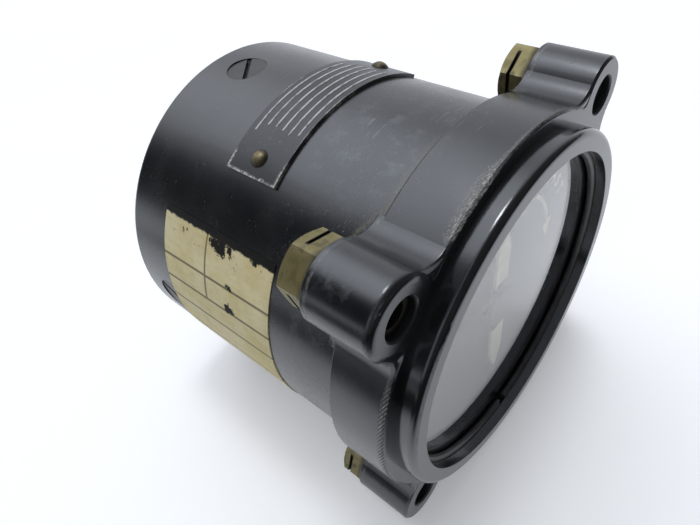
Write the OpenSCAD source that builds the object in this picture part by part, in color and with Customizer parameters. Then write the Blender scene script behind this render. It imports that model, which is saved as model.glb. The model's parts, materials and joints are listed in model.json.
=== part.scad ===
// Aircraft synchroscope for a panel cutout of 2.25 in (57.15 mm).
// The origin is the centre of the flange's front face. The dial looks along -Y, the rear connector is at +Y
// and +Z is up. Clock angles are seen from the front: 0 is at the top and 90 is on the right (+X).

/* [Case] */
// Outer radius of the tube
case_r = 28.5; // [27.5:0.1:29]
// Length from the flange's front face to the rear rim
case_len = 55.9; // [54:0.1:70]
// Wall of the tube
case_wall = 2.3; // [1.8:0.1:2.6]
// Rounding of the rear rim
rim_round = 0.8; // [0.2:0.1:1]
// Height of the flange above the tube
flange_lip = 1.9; // [1.2:0.1:3]
// Thickness of the round part of the flange
flange_t = 9.1; // [6:0.1:11]
// Diameter of the circle through the four mounting holes
bolt_circle_d = 66.675; // [66:0.025:70]
// Radius of a mounting ear
ear_r = 5.3; // [5.1:0.1:6.5]
// Length of a mounting ear
ear_len = 10; // [8:0.1:12]
// Radius of the hollow blend between an ear and the flange
ear_blend_r = 4.5; // [2:0.1:6]
// Radius of the hole through an ear
ear_hole_r = 2.7; // [2.4:0.1:3.2]
// Radius of the front boss that fills the panel cutout
boss_r = 28.4; // [27.5:0.1:28.5]
// Height of the front boss
boss_h = 3.1; // [2.6:0.1:6]
// Rounding of the boss's front edge
boss_round = 1.0; // [0.3:0.1:1.2]
// Bevel of the outer edges of the flange and ears
edge_bevel = 0.35; // [0.1:0.05:0.5]
// Bevel at the mouth of each ear's hole
hole_bevel = 0.25; // [0.1:0.05:0.4]

/* [Window] */
// Radius of the bore in front of the glass
bezel_r = 25.5; // [24:0.1:26]
// Depth of the glass below the boss's front face
recess = 2.85; // [2.6:0.05:6]
// Thickness of the cover glass
glass_t = 1.5; // [1:0.1:3]
// Gap between the glass and its bore
glass_gap = 0.2; // [0.1:0.05:0.4]
// Thickness of the gasket under the glass
gasket_t = 0.6; // [0.3:0.1:1]
// Radius of the opening in the shoulder that carries the glass
window_r = 23.6; // [21:0.1:24]
// Thickness of that shoulder
shoulder_t = 1.6; // [1:0.1:3]
// Diameter of the spring wire that holds the glass
wire_d = 1.2; // [0.8:0.1:1.6]
// Gap of the spring wire in degrees
wire_gap_deg = 4; // [2:1:20]

/* [Dial and pointer] */
// Gap between the shoulder and the dial
dial_gap = 0.3; // [0.2:0.1:1]
// Thickness of the dial
dial_t = 0.8; // [0.5:0.1:1.5]
// Radius of the hole in the middle of the dial
dial_hole_r = 2.6; // [2.4:0.1:3.2]
// Distance of the dial screws from the axis
dial_screw_at = 19; // [18:0.1:20]
// Radius of a dial screw's head
dial_screw_r = 1.3; // [1:0.1:1.6]
// Height of a dial screw's head
dial_screw_h = 0.5; // [0.3:0.1:0.7]
// Length of each arm of the pointer
pointer_len = 16; // [12:0.1:18]
// Greatest width of an arm
pointer_w = 3.5; // [2:0.1:5]
// Width of an arm at its tip
pointer_tip_w = 1; // [0.4:0.1:2]
// Thickness of the pointer
pointer_t = 0.4; // [0.2:0.1:0.6]
// Gap between the pointer and the dial
pointer_gap = 0.9; // [0.7:0.1:1]
// Radius of the pointer's round cap
cap_r = 3.4; // [2.4:0.1:4.5]
// Thickness of the cap
cap_t = 0.5; // [0.3:0.1:0.6]
// Turn of the pointer from the top
pointer_turn = 2; // [-180:1:180]

/* [Mounting nuts] */
// Width across the flats
nut_af = 8.6; // [8:0.1:8.7]
// Length of the hexagon
nut_len = 4.2; // [3:0.1:6]
// Length of the bevel at the hexagon's rear end
nut_bevel = 0.6; // [0.3:0.1:1]
// Radius of the screw hole through a nut
nut_bore_r = 1.75; // [1.2:0.05:2]
// Gap between a nut's shank and the ear's hole
nut_gap = 0.05; // [0.02:0.01:0.2]
// Depth of the shank's end below the flange's front face
nut_setback = 1.2; // [0.5:0.1:3]
// Width of a locking slit
slit_w = 0.45; // [0.3:0.05:0.8]
// Distance of a slit's floor from the nut's axis
slit_floor = 3.1; // [2.6:0.1:3.6]

/* [Plate and label] */
// Width of the data plate along the tube
plate_w = 9.8; // [6:0.1:14]
// Half of the data plate's arc in degrees
plate_half_deg = 33.6; // [20:0.1:45]
// Thickness of the data plate
plate_t = 0.5; // [0.3:0.1:0.8]
// Distance of the data plate's middle behind the flange's front face
plate_at = 31.8; // [24:0.1:40]
// Angle from the top to each rivet
rivet_deg = 27.9; // [10:0.1:30]
// Radius of a rivet's head
rivet_r = 1.4; // [0.8:0.1:2]
// Height of a rivet's head
rivet_h = 0.8; // [0.4:0.1:1]
// Radius of a rivet's shank
rivet_shank_r = 0.7; // [0.4:0.05:0.8]
// Front edge of the paper label
label_from = 22.2; // [18:0.1:26]
// Rear edge of the paper label
label_to = 46.6; // [40:0.1:52]
// Clock angle where the label starts
label_top_deg = 308; // [300:1:315]
// Arc of the label in degrees
label_arc_deg = 68; // [30:1:75]
// Thickness of the label
label_t = 0.15; // [0.1:0.05:0.3]

/* [Frame of the movement] */
// Gap between the plates and the tube
frame_gap = 0.4; // [0.2:0.1:1]
// Thickness of the front and rear plates
frame_t = 2; // [1.5:0.1:3]
// Distance of the long bolts from the tube's inner wall
bolt_inset = 3.1; // [3:0.1:3.6]
// Radius of a long bolt
frame_bolt_r = 1.2; // [0.8:0.1:1.4]
// Radius of a spacer tube
spacer_r = 2.4; // [2:0.1:2.6]
// Length of the front spacers
front_spacer_len = 5.5; // [5:0.1:8]
// Fit between pieces that slide together
slide_gap = 0.05; // [0.02:0.01:0.1]

/* [Stator and rotor] */
// Room between the stator core and the tube
stator_room = 4.7; // [4.2:0.1:5.4]
// Length of the stator core and rotor core
core_len = 18; // [12:0.1:20]
// Radius of the rotor core
rotor_r = 11.6; // [10:0.1:12.5]
// Air gap between rotor and stator
air_gap = 0.4; // [0.3:0.05:0.8]
// Number of slots in each core
slots = 12; // [9:1:15]
// Radius of a stator slot
stator_slot_r = 1.6; // [1.2:0.1:1.8]
// Radius of a rotor slot
rotor_slot_r = 1.2; // [0.8:0.1:1.4]
// Width of a slot's mouth
slot_mouth = 0.8; // [0.5:0.1:1]
// Gap between a winding and its slot
winding_gap = 0.1; // [0.05:0.01:0.2]
// Length of the end turns beyond each core's face
end_turn = 2; // [1.5:0.1:2.2]

/* [Shaft and bearings] */
// Radius of the shaft in its bearings
shaft_r = 1.5; // [1.2:0.1:1.8]
// Radius of the shaft between its bearings
shaft_mid_r = 2.2; // [2:0.1:2.4]
// Radius of the shaft's nose in the pointer
nose_r = 1; // [0.7:0.1:1.1]
// Outer radius of a ball bearing
bearing_r = 5; // [4.5:0.1:6]
// Width of a ball bearing
bearing_w = 4; // [3.5:0.1:4.5]
// Number of balls in a bearing
balls = 7; // [5:1:8]
// Radius of a ball
ball_r = 0.8; // [0.6:0.05:0.9]
// Gap between a ball and its track
ball_gap = 0.02; // [0.01:0.01:0.05]
// Wall around a bearing
hub_wall = 2; // [1.5:0.1:3]
// Lip that stops a bearing in its seat
seat_lip = 0.8; // [0.5:0.1:1]
// Radius of the collar at the shaft's rear end
collar_r = 2.8; // [2.2:0.1:3.4]
// Width of that collar
collar_w = 1.3; // [0.8:0.1:2]

/* [Slip rings] */
// Outer radius of a slip ring
ring_r = 3.4; // [3.2:0.1:3.8]
// Width of a slip ring
ring_w = 1.4; // [1:0.1:1.5]
// Distance from one slip ring to the next
ring_pitch = 2.2; // [2.1:0.1:2.4]
// Gap between a brush and its ring
brush_gap = 0.03; // [0.01:0.01:0.05]
// Thickness of a brush leaf
leaf_t = 0.25; // [0.2:0.05:0.3]
// Width of a brush leaf
leaf_w = 0.8; // [0.5:0.1:0.9]
// Width of the brush block
block_w = 12; // [10:0.1:14]
// Thickness of the brush block
block_t = 6; // [5:0.1:8]

/* [Rear cover and connector] */
// Gap between the rear cover and the tube
cover_gap = 0.25; // [0.15:0.05:0.4]
// Wall of the rear cover's skirt
skirt_wall = 2.6; // [2:0.1:3]
// Length of the skirt
skirt_len = 7.4; // [6.6:0.1:10]
// Thickness of the rear cover's disc
cover_t = 2.2; // [1.5:0.1:3]
// Radius of a flush screw's head
flush_head_r = 3.3; // [2.5:0.1:3.4]
// Radius of a flush screw's shank
flush_shank_r = 1.7; // [1.2:0.1:2]
// Width across the connector's square flange
socket_flange_w = 30.2; // [28:0.1:31]
// Spacing of the connector's flange screws
socket_pitch = 23; // [22:0.1:24]
// Thickness of the connector's flange
socket_flange_t = 1.6; // [1.2:0.1:2.5]
// Radius of the connector's threaded barrel
socket_r = 11.1; // [10.9:0.1:12]
// Inner radius of the barrel
socket_bore_r = 9; // [8.6:0.1:9.4]
// Length of the barrel behind its flange
socket_len = 9.5; // [9:0.1:14]
// Length of a contact pin in front of the insert
pin_len = 4.2; // [3:0.1:5]
// Radius of a contact pin
pin_r = 0.8; // [0.5:0.05:1]
// Radius of the circle of contact pins
pin_circle_r = 5.6; // [4.5:0.1:6]

/* [Hidden] */
$fn = 96;
// A cut reaches this far past the face that it opens
past = 1;
// Tight fit of a piece in its own hole, and the overlap of shapes that make one piece
snug = 0.01;

// Case: clock angles of the ears, and where a corner of each nut happens to stand
ear_at = [45, 135, 225, 315];
nut_turn = [-60, -15, -95, 47];
ear_ring_r = bolt_circle_d / 2;
bore_r = case_r - case_wall;
flange_r = case_r + flange_lip;
frame_r = bore_r - frame_gap;
frame_bolt_at = bore_r - bolt_inset;
stator_r = bore_r - stator_room;

// Window: places along the axis, from the front backwards
front_y = -boss_h;
glass_y = front_y + recess;
gasket_y = glass_y + glass_t;
shoulder_y = gasket_y + gasket_t;
bore_y = shoulder_y + shoulder_t;
wire_touch = 0.02;
wire_y = glass_y - wire_touch - wire_d / 2;
wire_bite = 0.45;
wire_ring_r = bezel_r + wire_bite - wire_d / 2;
wire_gap_at = 183;
groove_gap = 0.05;

// The rivets end inside the wall
rivet_depth = case_wall / 2;

// Movement: places along the axis
dial_y = bore_y + dial_gap;
dial_r = frame_r;
front_plate_y = dial_y + dial_t;
core_y = front_plate_y + frame_t + front_spacer_len;
core_end_y = core_y + core_len;
cover_inset = 1.2;
disc_y = case_len - cover_inset - cover_t;
cover_y = disc_y - skirt_len;
rear_plate_y = cover_y - frame_t;
socket_gasket_t = 0.5;
socket_y = disc_y + cover_t + socket_gasket_t;
front_bearing_y = front_plate_y + seat_lip;
rear_bearing_y = cover_y - bearing_w;
pointer_y = dial_y - pointer_gap - pointer_t;
cap_y = pointer_y - cap_t;
dial_shank_r = dial_screw_r * 0.6;
spigot_r = nose_r * 1.8;
small_slot_w = 0.4;
hub_r = bearing_r + hub_wall;
bolt_head_h = frame_t * 0.55;
bolt_head_r = frame_bolt_r + bolt_head_h;
seat_hole_r = shaft_mid_r + 0.5;
collar_gap = 0.1;

// Bearings: the balls run midway between the rings
ball_ring_r = (shaft_r + bearing_r) / 2;
race_half = ball_r * 0.62;

// Cores
stator_bore_r = rotor_r + air_gap;
slot_depth = 0.8;
stator_slot_at = stator_bore_r + slot_depth + stator_slot_r;
rotor_slot_at = rotor_r - slot_depth - rotor_slot_r;
core_ear_r = 2.7;

// The slip rings stand just in front of the rear plate's hub
sleeve_len = 2 * ring_pitch + 2 * ring_w;
sleeve_gap = 0.2;
sleeve_y = rear_bearing_y - seat_lip - sleeve_gap - sleeve_len;
sleeve_r = ring_r + 0.6;
sleeve_core_r = (shaft_mid_r + ring_r) / 2;
first_ring_y = sleeve_y + sleeve_len / 2 - ring_pitch;
block_gap = 0.3;
block_x = hub_r + block_gap;
block_y = sleeve_y;
block_screw_r = 0.9;
block_screw_at = block_w / 3;
block_screw_head_r = block_screw_r * 1.7;
block_screw_len = (rear_plate_y - block_y) / 2;

// Rear
cover_r = bore_r - cover_gap;
flush_y = cover_y + 3;
flush_sink = 0.2;
flush_head_h = 1.7;
flush_gap = 0.03;
flush_slot_depth = 0.8;
cover_boss_r = 2.6;
bolt_end_y = cover_y + skirt_len * 0.7;
insert_r = socket_bore_r - 0.1;
insert_y = disc_y - cover_t;
insert_face_y = socket_y + 2 * socket_flange_t;
pin_y = insert_y - cover_t;
socket_wall = 1.1;
socket_hole_r = socket_bore_r + socket_wall + slide_gap;
socket_key_w = 1.3;
socket_key_h = 0.8;
socket_screw_r = 1.2;
socket_screw_head_r = 2.3;
socket_screw_head_h = 1.5;
slot_w = 0.8;

// Turns a shape that stands along +Z so that it lies along +Y
module along_y() {
    rotate([-90, 0, 0]) children();
}

// Turns a profile about the axis. In the profile X is the radius and Y is the place along the axis
module turned() {
    along_y() rotate_extrude() children();
}

// The same over part of a turn, between two clock angles
module turned_arc(from, to) {
    along_y() rotate([0, 0, from - 90]) rotate_extrude(angle = to - from) children();
}

// A flat shape seen from the front, made solid from one place along the axis to another
module slab(from, to) {
    translate([0, from, 0]) along_y() linear_extrude(to - from) mirror([0, 1]) children();
}

// Moves what stands at the top to a clock angle
module at_clock(angle) {
    rotate([0, angle, 0]) children();
}

// A driver's slot in a head that looks along the axis: long, deep and wide, about a place on the axis
module slot_cut(long, deep, wide, face_y, up) {
    translate([0, face_y, up]) cube([long + past, 2 * deep, wide], center = true);
}

// A round bar along the axis at the top
module bar(radius, from, to, up = 0) {
    translate([0, from, up]) along_y() cylinder(h = to - from, r = radius);
}

// A tapered round bar along the axis at the top
module cone_bar(radius1, radius2, from, to, up = 0) {
    translate([0, from, up]) along_y() cylinder(h = to - from, r1 = radius1, r2 = radius2);
}

// A rectangle between two radii and two places along the axis, for a turned profile
module band(inner, outer, from, to) {
    translate([inner, from]) square([outer - inner, to - from]);
}

// A place in a flat shape, at a clock angle and a distance from the axis
function clock_point(angle, radius) = [radius * sin(angle), radius * cos(angle)];

// Angle between an ear's middle and the centre of its hollow blend, seen from the axis. The blend's circle
// cuts a trace into the flange and the ear, so that the outlines cross and do not just touch
blend_lap = 0.02;
blend_centre_r = flange_r + ear_blend_r - blend_lap;
blend_reach = ear_r + ear_blend_r - blend_lap;
blend_deg = acos((pow(ear_ring_r, 2) + pow(blend_centre_r, 2) - pow(blend_reach, 2))
    / (2 * ear_ring_r * blend_centre_r));

// Profile of a disc or cylinder that is bevelled at both ends
module bevelled_profile(radius, from, to, bevel) {
    polygon([[0, from], [radius - bevel, from], [radius, from + bevel], [radius, to - bevel],
        [radius - bevel, to], [0, to]]);
}

// Profile of a cut whose two mouths are bevelled
module flared_profile(radius, from, to, bevel) {
    polygon([[0, from - past], [radius + bevel + past, from - past], [radius, from + bevel],
        [radius, to - bevel], [radius + bevel + past, to + past], [0, to + past]]);
}

// One ear with a hollow blend on each side
module ear(angle) {
    middle = clock_point(angle, ear_ring_r);
    translate([middle[0], 0, middle[1]]) turned() bevelled_profile(ear_r, 0, ear_len, edge_bevel);
    for (side = [-1, 1]) {
        blend = clock_point(angle + side * blend_deg, blend_centre_r);
        difference() {
            slab(0, ear_len) polygon([[0, 0], middle, blend]);
            translate([blend[0], 0, blend[1]]) turned() flared_profile(ear_blend_r, 0, ear_len, edge_bevel);
        }
    }
}

// Profile of the front boss, with its rounded edge
module boss_profile() {
    band(0, boss_r - boss_round, front_y, 0);
    band(0, boss_r, front_y + boss_round, 0);
    translate([boss_r - boss_round, front_y + boss_round]) circle(boss_round);
}

// Profile of the tube, with its rounded rear rim
module tube_profile() {
    band(0, case_r, 0, case_len - rim_round);
    band(0, case_r - rim_round, 0, case_len);
    translate([case_r - rim_round, case_len - rim_round]) circle(rim_round);
}

// Profile of everything that is hollow inside the case
module hollow_profile() {
    band(0, bezel_r, front_y - past, shoulder_y);
    band(0, window_r, front_y - past, bore_y + past);
    band(0, bore_r, bore_y, case_len + past);
    translate([wire_ring_r, wire_y]) circle(wire_d / 2 + groove_gap);
}

// A flush screw stands at the top of the tube and points at the axis
module flush_screw_body(extra) {
    top = case_r - flush_sink;
    translate([0, flush_y, top - flush_head_h])
        cylinder(h = flush_head_h, r1 = flush_shank_r + extra, r2 = flush_head_r + extra);
    translate([0, flush_y, cover_r - skirt_wall - past])
        cylinder(h = top - cover_r + skirt_wall, r = flush_shank_r + extra);
}

module case_shell() {
    color([0.10, 0.10, 0.11]) difference() {
        union() {
            turned() boss_profile();
            turned() tube_profile();
            turned() bevelled_profile(flange_r, 0, flange_t, edge_bevel);
            for (angle = ear_at) ear(angle);
        }
        turned() hollow_profile();
        for (angle = ear_at) at_clock(angle) translate([0, 0, ear_ring_r]) turned()
            flared_profile(ear_hole_r, 0, ear_len, hole_bevel);
        for (angle = [0, 90, 180, 270]) at_clock(angle) {
            flush_screw_body(flush_gap);
            translate([0, flush_y, case_r - 2 * flush_sink])
                cylinder(h = past, r = flush_head_r + flush_gap);
        }
        for (angle = [-rivet_deg, rivet_deg]) at_clock(angle)
            translate([0, plate_at, case_r - rivet_depth])
                cylinder(h = rivet_depth + past, r = rivet_shank_r);
    }
}

// One nut: a shank in the ear, and a bevelled hexagon behind it. Two slits are sawn in at opposite corners
module mounting_nut(turn) {
    corner_r = nut_af / sqrt(3);
    nut_end = ear_len + nut_len;
    bevel_y = nut_end - nut_bevel;
    slit_y = ear_len + nut_len * 0.53;
    difference() {
        union() {
            bar(ear_hole_r - nut_gap, nut_setback, ear_len + nut_len / 4);
            intersection() {
                slab(ear_len, nut_end) rotate(-turn - 30) circle(corner_r, $fn = 6);
                union() {
                    bar(corner_r + past, ear_len - past, bevel_y - past);
                    cone_bar(corner_r + past * 1.75, corner_r - nut_bevel * 1.75, bevel_y - past, nut_end);
                }
            }
        }
        bar(nut_bore_r, nut_setback - past, nut_end + past);
        for (side = [0, 180]) at_clock(turn + side)
            translate([-corner_r, slit_y, slit_floor]) cube([2 * corner_r, slit_w, corner_r]);
    }
}

module mounting_nuts() {
    color([0.62, 0.56, 0.38]) for (k = [0:3])
        translate([ear_ring_r * sin(ear_at[k]), 0, ear_ring_r * cos(ear_at[k])]) mounting_nut(nut_turn[k]);
}

module cover_glass() {
    color([0.8, 0.88, 0.9, 0.4]) bar(bezel_r - glass_gap, glass_y, gasket_y);
}

module glass_gasket() {
    color([0.08, 0.08, 0.08]) turned()
        band(window_r + glass_gap / 2, bezel_r - glass_gap, gasket_y, shoulder_y);
}

module snap_ring() {
    color([0.12, 0.12, 0.13])
        turned_arc(wire_gap_at + wire_gap_deg / 2, wire_gap_at + 360 - wire_gap_deg / 2)
            translate([wire_ring_r, wire_y]) circle(wire_d / 2);
}

module dial_plate() {
    color([0.09, 0.09, 0.10]) difference() {
        bar(dial_r, dial_y, front_plate_y);
        bar(dial_hole_r, dial_y - past, front_plate_y + past);
        for (angle = [0, 180]) at_clock(angle)
            bar(dial_shank_r, dial_y - past, front_plate_y + past, dial_screw_at);
    }
}

module dial_screws() {
    head_y = dial_y - dial_screw_h;
    color([0.14, 0.14, 0.15]) for (angle = [0, 180]) at_clock(angle) difference() {
        union() {
            bar(dial_screw_r, head_y, dial_y, dial_screw_at);
            bar(dial_shank_r - snug, dial_y, front_plate_y + frame_t * 0.75, dial_screw_at);
        }
        slot_cut(2 * dial_screw_r, dial_screw_h / 2, small_slot_w, head_y, dial_screw_at);
    }
}

module data_plate() {
    color([0.12, 0.12, 0.13]) difference() {
        turned_arc(-plate_half_deg, plate_half_deg)
            band(case_r, case_r + plate_t, plate_at - plate_w / 2, plate_at + plate_w / 2);
        for (angle = [-rivet_deg, rivet_deg]) at_clock(angle)
            translate([0, plate_at, case_r - past]) cylinder(h = plate_t + 2 * past, r = rivet_shank_r);
    }
}

module plate_rivets() {
    seat = case_r + plate_t;
    dome_r = (pow(rivet_r, 2) + pow(rivet_h, 2)) / (2 * rivet_h);
    color([0.60, 0.52, 0.33]) for (angle = [-rivet_deg, rivet_deg]) at_clock(angle)
        translate([0, plate_at, 0]) {
            translate([0, 0, case_r - rivet_depth + snug])
                cylinder(h = rivet_depth + plate_t + rivet_h / 4, r = rivet_shank_r - snug);
            intersection() {
                translate([0, 0, seat + rivet_h - dome_r]) sphere(dome_r);
                translate([0, 0, seat + snug]) cylinder(h = rivet_h + past, r = rivet_r);
            }
        }
}

module paper_label() {
    color([0.86, 0.80, 0.62]) turned_arc(label_top_deg - label_arc_deg, label_top_deg)
        band(case_r, case_r + label_t, label_from, label_to);
}

// Screw holes of the frame at one plate or core
module frame_bolt_holes(from, to) {
    for (angle = ear_at) at_clock(angle) bar(frame_bolt_r + slide_gap, from, to, frame_bolt_at);
}

module front_plate() {
    seat_end = front_bearing_y + bearing_w;
    color([0.66, 0.67, 0.68]) difference() {
        union() {
            bar(frame_r, front_plate_y, front_plate_y + frame_t);
            bar(hub_r, front_plate_y, seat_end);
        }
        bar(seat_hole_r, front_plate_y - past, seat_end + past);
        bar(bearing_r, front_bearing_y, seat_end + past);
        frame_bolt_holes(front_plate_y - past, front_plate_y + frame_t + past);
        for (angle = ear_at) at_clock(angle)
            cone_bar(bolt_head_r, frame_bolt_r, front_plate_y, front_plate_y + bolt_head_h, frame_bolt_at);
        for (angle = [0, 180]) at_clock(angle)
            bar(dial_shank_r, front_plate_y - past, front_plate_y + frame_t * 0.85, dial_screw_at);
    }
}

module rear_plate() {
    seat_y = rear_bearing_y - seat_lip;
    color([0.66, 0.67, 0.68]) difference() {
        union() {
            bar(frame_r, rear_plate_y, cover_y);
            bar(hub_r, seat_y, cover_y);
        }
        bar(seat_hole_r, seat_y - past, cover_y + past);
        bar(bearing_r, rear_bearing_y, cover_y + past);
        frame_bolt_holes(rear_plate_y - past, cover_y + past);
        for (up = [-block_screw_at, block_screw_at]) translate([block_x + block_t / 2, 0, 0])
            bar(block_screw_r + slide_gap, rear_plate_y - past, cover_y + past, up);
    }
}

module frame_bolts() {
    color([0.55, 0.55, 0.56]) for (angle = ear_at) at_clock(angle) difference() {
        union() {
            cone_bar(bolt_head_r - snug, frame_bolt_r, front_plate_y + snug, front_plate_y + bolt_head_h,
                frame_bolt_at);
            bar(frame_bolt_r, front_plate_y + bolt_head_h, bolt_end_y, frame_bolt_at);
        }
        slot_cut(2 * bolt_head_r, bolt_head_h / 2, small_slot_w, front_plate_y, frame_bolt_at);
    }
}

// Four spacer tubes over the long bolts
module spacers(from, to) {
    color([0.70, 0.66, 0.50]) for (angle = ear_at) at_clock(angle) difference() {
        bar(spacer_r, from, to, frame_bolt_at);
        bar(frame_bolt_r + slide_gap, from - past, to + past, frame_bolt_at);
    }
}

module front_spacers() {
    spacers(front_plate_y + frame_t, core_y);
}

module rear_spacers() {
    spacers(core_end_y, rear_plate_y);
}

module stator_core() {
    color([0.35, 0.36, 0.38]) difference() {
        slab(core_y, core_end_y) difference() {
            union() {
                circle(stator_r);
                for (angle = ear_at) translate(clock_point(angle, frame_bolt_at)) circle(core_ear_r);
            }
            circle(stator_bore_r);
            for (k = [0:slots - 1]) rotate(360 / slots * k) {
                translate([0, stator_slot_at]) circle(stator_slot_r);
                translate([-slot_mouth / 2, 0]) square([slot_mouth, stator_slot_at]);
            }
        }
        frame_bolt_holes(core_y - past, core_end_y + past);
    }
}

// End turns of a winding, rounded at their outer edges
module end_turns(inner, outer) {
    edge = end_turn * 0.45;
    for (side = [0, 1]) turned() translate([0, side ? core_end_y : core_y]) mirror([0, side ? 0 : 1]) {
        band(inner, outer, 0, end_turn - edge);
        band(inner + edge, outer - edge, 0, end_turn);
        for (r = [inner + edge, outer - edge]) translate([r, end_turn - edge]) circle(edge);
    }
}

module stator_winding() {
    color([0.62, 0.30, 0.14]) {
        end_turns(stator_bore_r + slot_depth, stator_slot_at + stator_slot_r + 3);
        for (k = [0:slots - 1]) at_clock(360 / slots * k)
            bar(stator_slot_r - winding_gap, core_y, core_end_y, stator_slot_at);
    }
}

// Ring of a ball bearing between two radii, with the balls' track cut into it
module bearing_ring(inner, outer, from) {
    turned() difference() {
        band(inner, outer, from, from + bearing_w);
        translate([ball_ring_r, from + bearing_w / 2]) circle(ball_r + ball_gap);
    }
}

module bearing_balls(from) {
    for (k = [0:balls - 1]) at_clock(360 / balls * k)
        translate([0, from + bearing_w / 2, ball_ring_r]) sphere(ball_r);
}

module front_bearing_outer() {
    color([0.72, 0.73, 0.75]) bearing_ring(ball_ring_r + race_half, bearing_r, front_bearing_y);
}

module front_bearing_balls() {
    color([0.82, 0.83, 0.85]) bearing_balls(front_bearing_y);
}

module front_bearing_inner() {
    color([0.72, 0.73, 0.75]) bearing_ring(shaft_r, ball_ring_r - race_half, front_bearing_y);
}

module rear_bearing_outer() {
    color([0.72, 0.73, 0.75]) bearing_ring(ball_ring_r + race_half, bearing_r, rear_bearing_y);
}

module rear_bearing_balls() {
    color([0.82, 0.83, 0.85]) bearing_balls(rear_bearing_y);
}

module rear_bearing_inner() {
    color([0.72, 0.73, 0.75]) bearing_ring(shaft_r, ball_ring_r - race_half, rear_bearing_y);
}

module rotor_shaft() {
    color([0.75, 0.76, 0.78]) {
        bar(nose_r, cap_y + cap_t, front_plate_y);
        bar(shaft_r, front_plate_y, cover_y + collar_w * 1.3);
        bar(shaft_mid_r, front_bearing_y + bearing_w, rear_bearing_y);
    }
}

module rotor_core() {
    color([0.35, 0.36, 0.38]) slab(core_y, core_end_y) difference() {
        circle(rotor_r);
        circle(shaft_mid_r);
        for (k = [0:slots - 1]) rotate(360 / slots * k) {
            translate([0, rotor_slot_at]) circle(rotor_slot_r);
            translate([-slot_mouth / 2, rotor_slot_at]) square([slot_mouth, rotor_r]);
        }
    }
}

module rotor_winding() {
    color([0.62, 0.30, 0.14]) {
        end_turns(rotor_slot_at - rotor_slot_r - 3, rotor_r - slot_depth);
        for (k = [0:slots - 1]) at_clock(360 / slots * k)
            bar(rotor_slot_r - winding_gap, core_y, core_end_y, rotor_slot_at);
    }
}

// Place of a slip ring's middle along the axis
function ring_y(k) = first_ring_y + ring_pitch * k;

module slip_ring_sleeve() {
    color([0.35, 0.16, 0.08]) turned() difference() {
        band(shaft_mid_r, sleeve_r, sleeve_y, sleeve_y + sleeve_len);
        for (k = [0:2])
            band(sleeve_core_r, sleeve_r + past, ring_y(k) - ring_w / 2, ring_y(k) + ring_w / 2);
    }
}

module slip_rings() {
    color([0.80, 0.70, 0.42]) for (k = [0:2])
        turned() band(sleeve_core_r, ring_r, ring_y(k) - ring_w / 2, ring_y(k) + ring_w / 2);
}

module shaft_collar() {
    color([0.66, 0.60, 0.40]) turned()
        band(shaft_r, collar_r, cover_y + collar_gap, cover_y + collar_gap + collar_w);
}

// Six straight leaves, one above and one below each slip ring
module leaf_shapes(extra) {
    leaf_up = ring_r + brush_gap;
    for (k = [0:2]) for (side = [0, 1]) mirror([0, 0, side])
        translate([-ring_r / 2, ring_y(k) - leaf_w / 2 - extra, leaf_up - extra])
            cube([block_x + block_t / 2, leaf_w + 2 * extra, leaf_t + 2 * extra]);
}

module brush_leaves() {
    color([0.78, 0.66, 0.36]) leaf_shapes(0);
}

module brush_block() {
    hole_from = rear_plate_y - block_screw_len - slide_gap;
    color([0.30, 0.13, 0.07]) difference() {
        translate([block_x, block_y, -block_w / 2]) cube([block_t, rear_plate_y - block_y, block_w]);
        leaf_shapes(snug);
        for (up = [-block_screw_at, block_screw_at]) translate([block_x + block_t / 2, 0, 0])
            bar(block_screw_r + slide_gap, hole_from, rear_plate_y + past, up);
    }
}

module brush_block_screws() {
    color([0.70, 0.66, 0.50]) for (up = [-block_screw_at, block_screw_at])
        translate([block_x + block_t / 2, 0, 0]) difference() {
            union() {
                bar(block_screw_r, rear_plate_y - block_screw_len, cover_y, up);
                bar(block_screw_head_r, cover_y, cover_y + block_screw_r, up);
            }
            slot_cut(2 * block_screw_head_r, block_screw_r / 2, small_slot_w, cover_y + block_screw_r, up);
        }
}

// Outline of one arm, from the cap to the rounded tip
module pointer_arm() {
    neck = pointer_w * 0.46;
    shoulder_at = pointer_len * 0.31;
    neck_to = pointer_len * 0.27;
    straight_to = pointer_len * 0.72;
    polygon([[-neck / 2, 0], [neck / 2, 0], [neck / 2, neck_to], [pointer_w / 2, shoulder_at],
        [pointer_w / 2, straight_to], [pointer_tip_w / 2, pointer_len - pointer_tip_w / 2],
        [-pointer_tip_w / 2, pointer_len - pointer_tip_w / 2], [-pointer_w / 2, straight_to],
        [-pointer_w / 2, shoulder_at], [-neck / 2, neck_to]]);
    translate([0, pointer_len - pointer_tip_w / 2]) circle(pointer_tip_w / 2);
}

module pointer() {
    color([0.88, 0.85, 0.68]) at_clock(pointer_turn) slab(pointer_y, pointer_y + pointer_t) difference() {
        union() {
            for (turn = [0, 180]) rotate(turn) pointer_arm();
            circle(cap_r * 0.9);
        }
        circle(spigot_r);
    }
}

module pointer_hub() {
    color([0.08, 0.08, 0.09]) difference() {
        union() {
            bar(cap_r, cap_y, pointer_y);
            bar(spigot_r - snug, pointer_y, pointer_y + pointer_t * 2);
        }
        bar(nose_r, pointer_y, pointer_y + pointer_t * 2 + past);
    }
}

module rear_cover() {
    color([0.14, 0.14, 0.15]) difference() {
        union() {
            turned() {
                band(cover_r - skirt_wall, cover_r, cover_y, disc_y + cover_t);
                band(0, cover_r, disc_y, disc_y + cover_t);
            }
            for (angle = ear_at) at_clock(angle) bar(cover_boss_r, cover_y, disc_y, frame_bolt_at);
        }
        for (angle = ear_at) at_clock(angle)
            bar(frame_bolt_r + slide_gap, cover_y - past, bolt_end_y + slide_gap, frame_bolt_at);
        for (angle = [0, 90, 180, 270]) at_clock(angle) flush_screw_body(snug);
        bar(socket_hole_r, disc_y - past, disc_y + cover_t + past);
        socket_screw_holes(disc_y - past, disc_y + cover_t + past);
    }
}

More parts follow.
